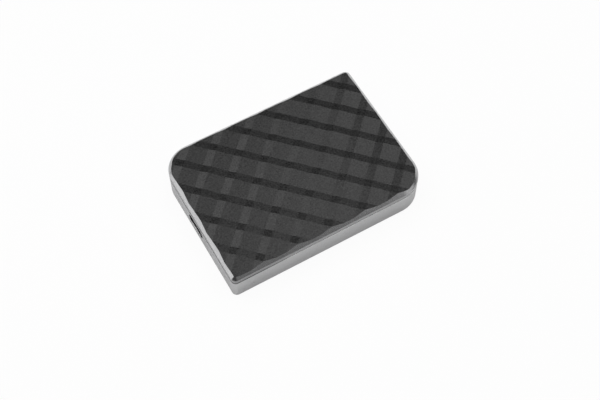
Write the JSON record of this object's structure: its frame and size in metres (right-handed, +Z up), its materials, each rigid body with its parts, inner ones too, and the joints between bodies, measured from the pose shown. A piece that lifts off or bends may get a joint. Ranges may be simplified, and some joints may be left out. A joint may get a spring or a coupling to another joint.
{
  "type": "external solid state drive",
  "caption": "Flat pocket solid state drive: satin silver tray with a data socket in one end, under a dark cover of crossing facet bands with a bright bevelled edge.",
  "frame": {"origin": "on the underside, under the middle of the drive's plan", "axes": "+X along the drive, away from the end with the socket; +Y to the back; +Z up, out of the faceted cover"},
  "size_m": [0.074, 0.0534, 0.0115],
  "materials": {
    "satin_silver_shell": "satin metallic grey lacquer over moulded plastic",
    "dark_textured_cover": "fine spark-eroded grain, bright satin bevel",
    "board_laminate": "glass-fibre laminate under solder mask",
    "socket_steel": "nickel-plated stamped steel",
    "socket_insulator": "moulded insulator",
    "contact_gold": "gold-plated copper alloy",
    "chip_resin": "moulded resin package",
    "coil_ferrite": "pressed ferrite",
    "capacitor_resin": "moulded resin",
    "crystal_can": "plated metal lid on a ceramic base",
    "capacitor_ceramic": "fired ceramic",
    "resistor_film": "film on ceramic",
    "screw_steel": "zinc-plated steel"
  },
  "bodies": {
    "root": {"tray": "satin_silver_shell", "top_cover": "dark_textured_cover", "main_board": "board_laminate", "socket_sleeve": "socket_steel", "socket_tongue": "socket_insulator", "socket_contacts": "contact_gold", "bridge_chip": "chip_resin", "controller_chip": "chip_resin", "flash_chip_1": "chip_resin", "flash_chip_2": "chip_resin", "flash_chip_3": "chip_resin", "flash_chip_4": "chip_resin", "firmware_chip": "chip_resin", "power_regulators": "chip_resin", "surge_suppressors": "chip_resin", "power_coils": "coil_ferrite", "reservoir_capacitors": "capacitor_resin", "bridge_crystal": "crystal_can", "controller_crystal": "crystal_can", "small_capacitors": "capacitor_ceramic", "small_resistors": "resistor_film", "board_screws": "screw_steel"}
  },
  "joints": []
}
